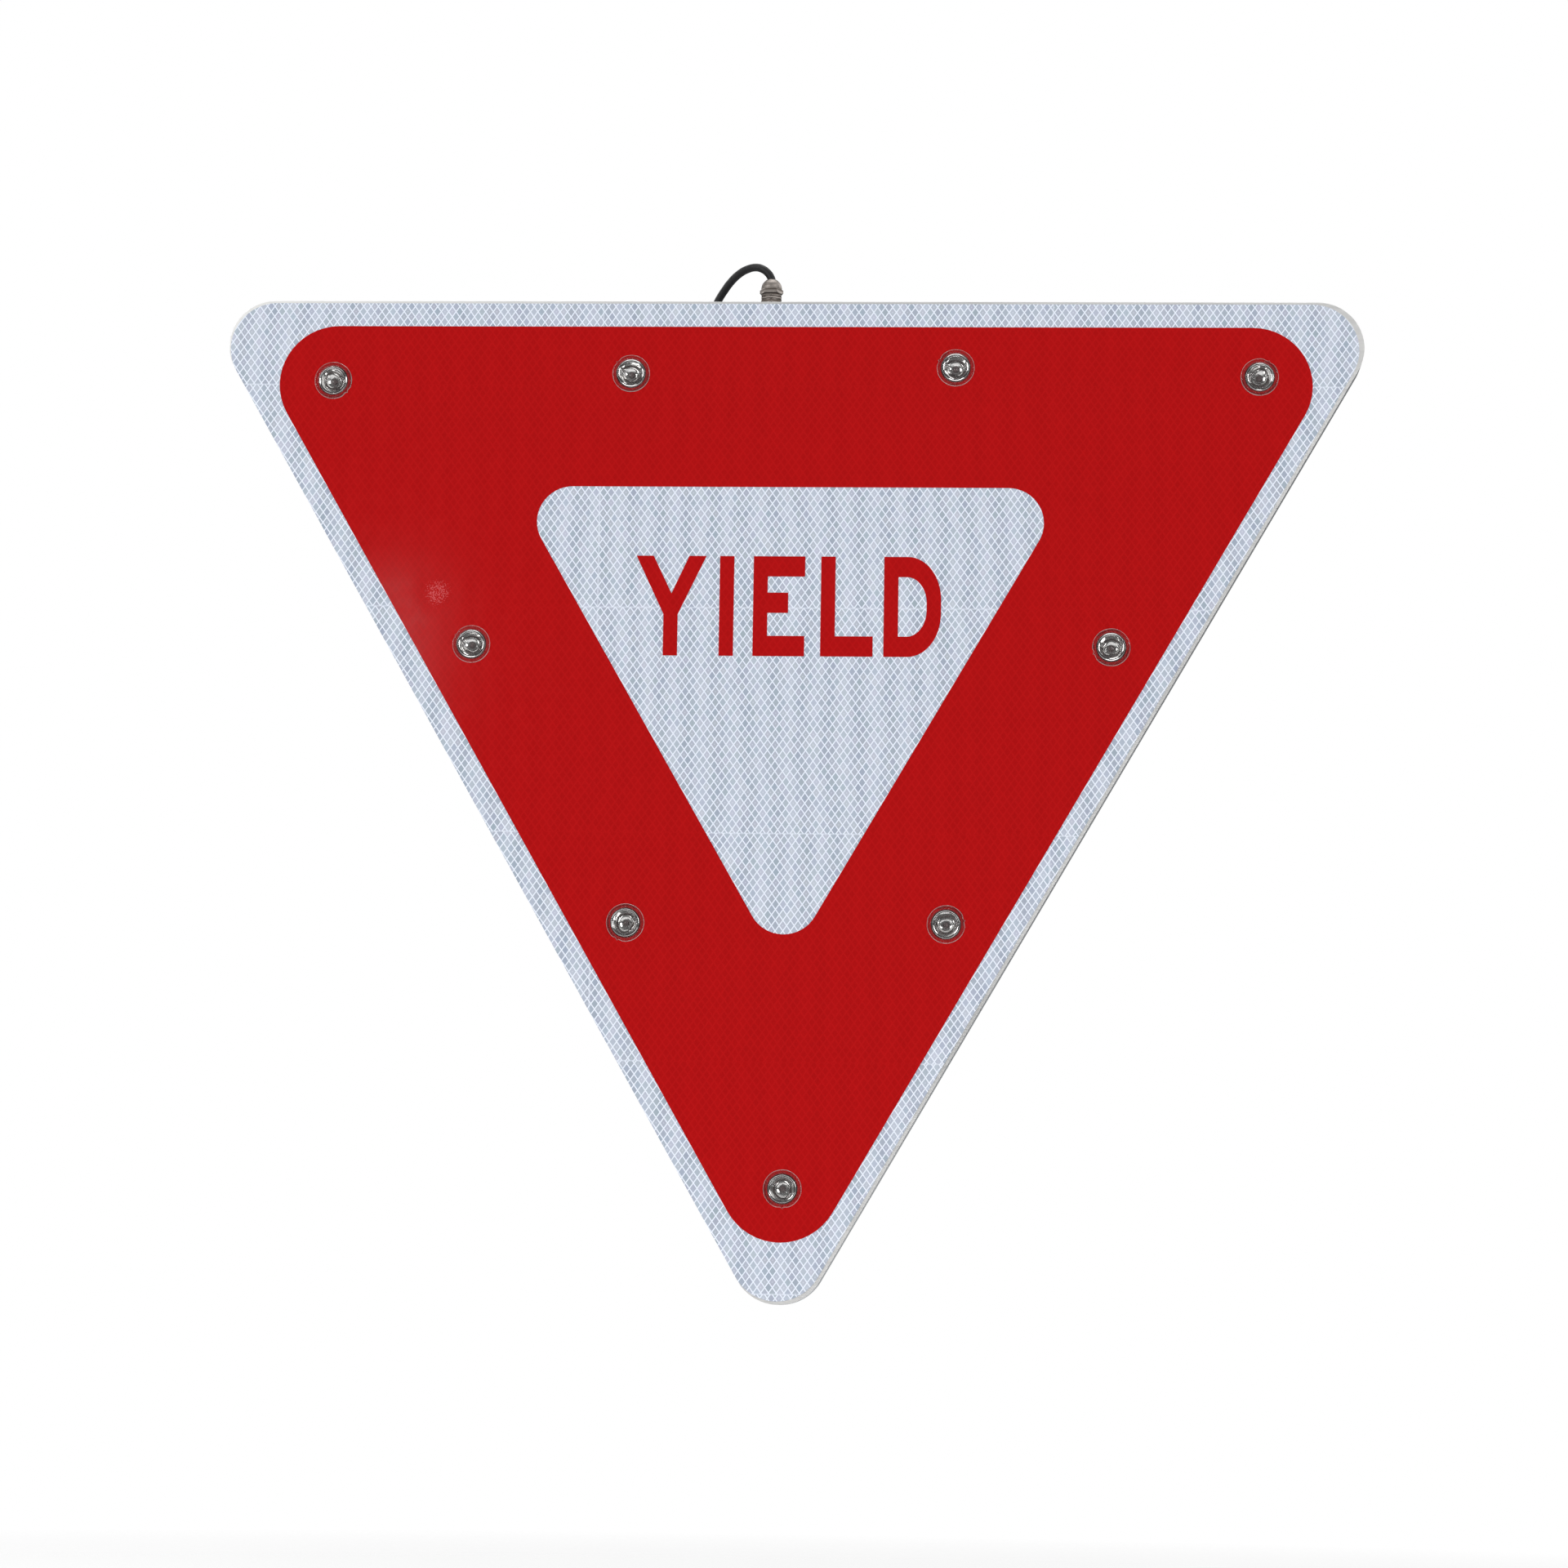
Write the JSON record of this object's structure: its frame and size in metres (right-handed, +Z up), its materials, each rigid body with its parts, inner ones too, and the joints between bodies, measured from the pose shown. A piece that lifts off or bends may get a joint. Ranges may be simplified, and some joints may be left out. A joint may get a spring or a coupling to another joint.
{
  "type": "flashing give-way sign head",
  "caption": "Point-down triangular give-way traffic sign head with a red border, clear flashing lamps round it, a top cable gland and slotted rails on its back.",
  "frame": {"origin": "on the back face of the upper mounting rail, on the sign's vertical centre line, in the middle of the rail's upper lip", "axes": "+X to the reader's right along the top edge, +Y out of the back of the sign, away from the reader, +Z up; the legend faces -Y"},
  "size_m": [0.8632, 0.0577, 0.7914],
  "materials": {
    "bare_aluminium": "plain sheet, fine rolling marks",
    "mill_aluminium": "mill finish extrusion",
    "white_sheeting": "prismatic reflective sheeting with a diamond lattice",
    "red_film": "transparent red overlay film, glossy",
    "clear_lens": "clear moulded lens",
    "silvered_cup": "silvered reflector",
    "black_nylon": "moulded nylon",
    "black_rubber": "moulded rubber",
    "cord_jacket": "round black jacket, matte",
    "nickel_plate": "nickel plated brass",
    "rivet_steel": "zinc plated",
    "circuit_board": "green solder mask"
  },
  "bodies": {
    "root": {"front_panel": "bare_aluminium", "white_sheeting": "white_sheeting", "red_border_film": "red_film", "letter_y": "red_film", "letter_i": "red_film", "letter_e": "red_film", "letter_l": "red_film", "letter_d": "red_film", "lamp_lens_1": "clear_lens", "lamp_module_1": "silvered_cup", "lamp_nut_1": "black_nylon", "lamp_lens_2": "clear_lens", "lamp_module_2": "silvered_cup", "lamp_nut_2": "black_nylon", "lamp_lens_3": "clear_lens", "lamp_module_3": "silvered_cup", "lamp_nut_3": "black_nylon", "lamp_lens_4": "clear_lens", "lamp_module_4": "silvered_cup", "lamp_nut_4": "black_nylon", "lamp_lens_5": "clear_lens", "lamp_module_5": "silvered_cup", "lamp_nut_5": "black_nylon", "lamp_lens_6": "clear_lens", "lamp_module_6": "silvered_cup", "lamp_nut_6": "black_nylon", "lamp_lens_7": "clear_lens", "lamp_module_7": "silvered_cup", "lamp_nut_7": "black_nylon", "lamp_lens_8": "clear_lens", "lamp_module_8": "silvered_cup", "lamp_nut_8": "black_nylon", "lamp_lens_9": "clear_lens", "lamp_module_9": "silvered_cup", "lamp_nut_9": "black_nylon", "frame_top": "mill_aluminium", "frame_right": "mill_aluminium", "frame_left": "mill_aluminium", "cover_gasket": "black_rubber", "back_cover": "bare_aluminium", "rail_upper": "mill_aluminium", "rail_lower": "mill_aluminium", "rail_rivet_upper_left": "rivet_steel", "rail_rivet_upper_right": "rivet_steel", "rail_rivet_lower_left": "rivet_steel", "rail_rivet_lower_right": "rivet_steel", "gland_washer": "black_rubber", "gland_body": "nickel_plate", "gland_lock_nut": "nickel_plate", "gland_seal": "black_rubber", "gland_dome_nut": "nickel_plate", "lead_run": "cord_jacket", "lead_coil": "cord_jacket", "lead_tail": "cord_jacket", "lead_connector": "black_nylon", "lead_tie": "black_nylon", "tie_base": "black_nylon", "flasher_board": "circuit_board", "lamp_loom": "cord_jacket", "supply_cable": "cord_jacket"}
  },
  "joints": []
}
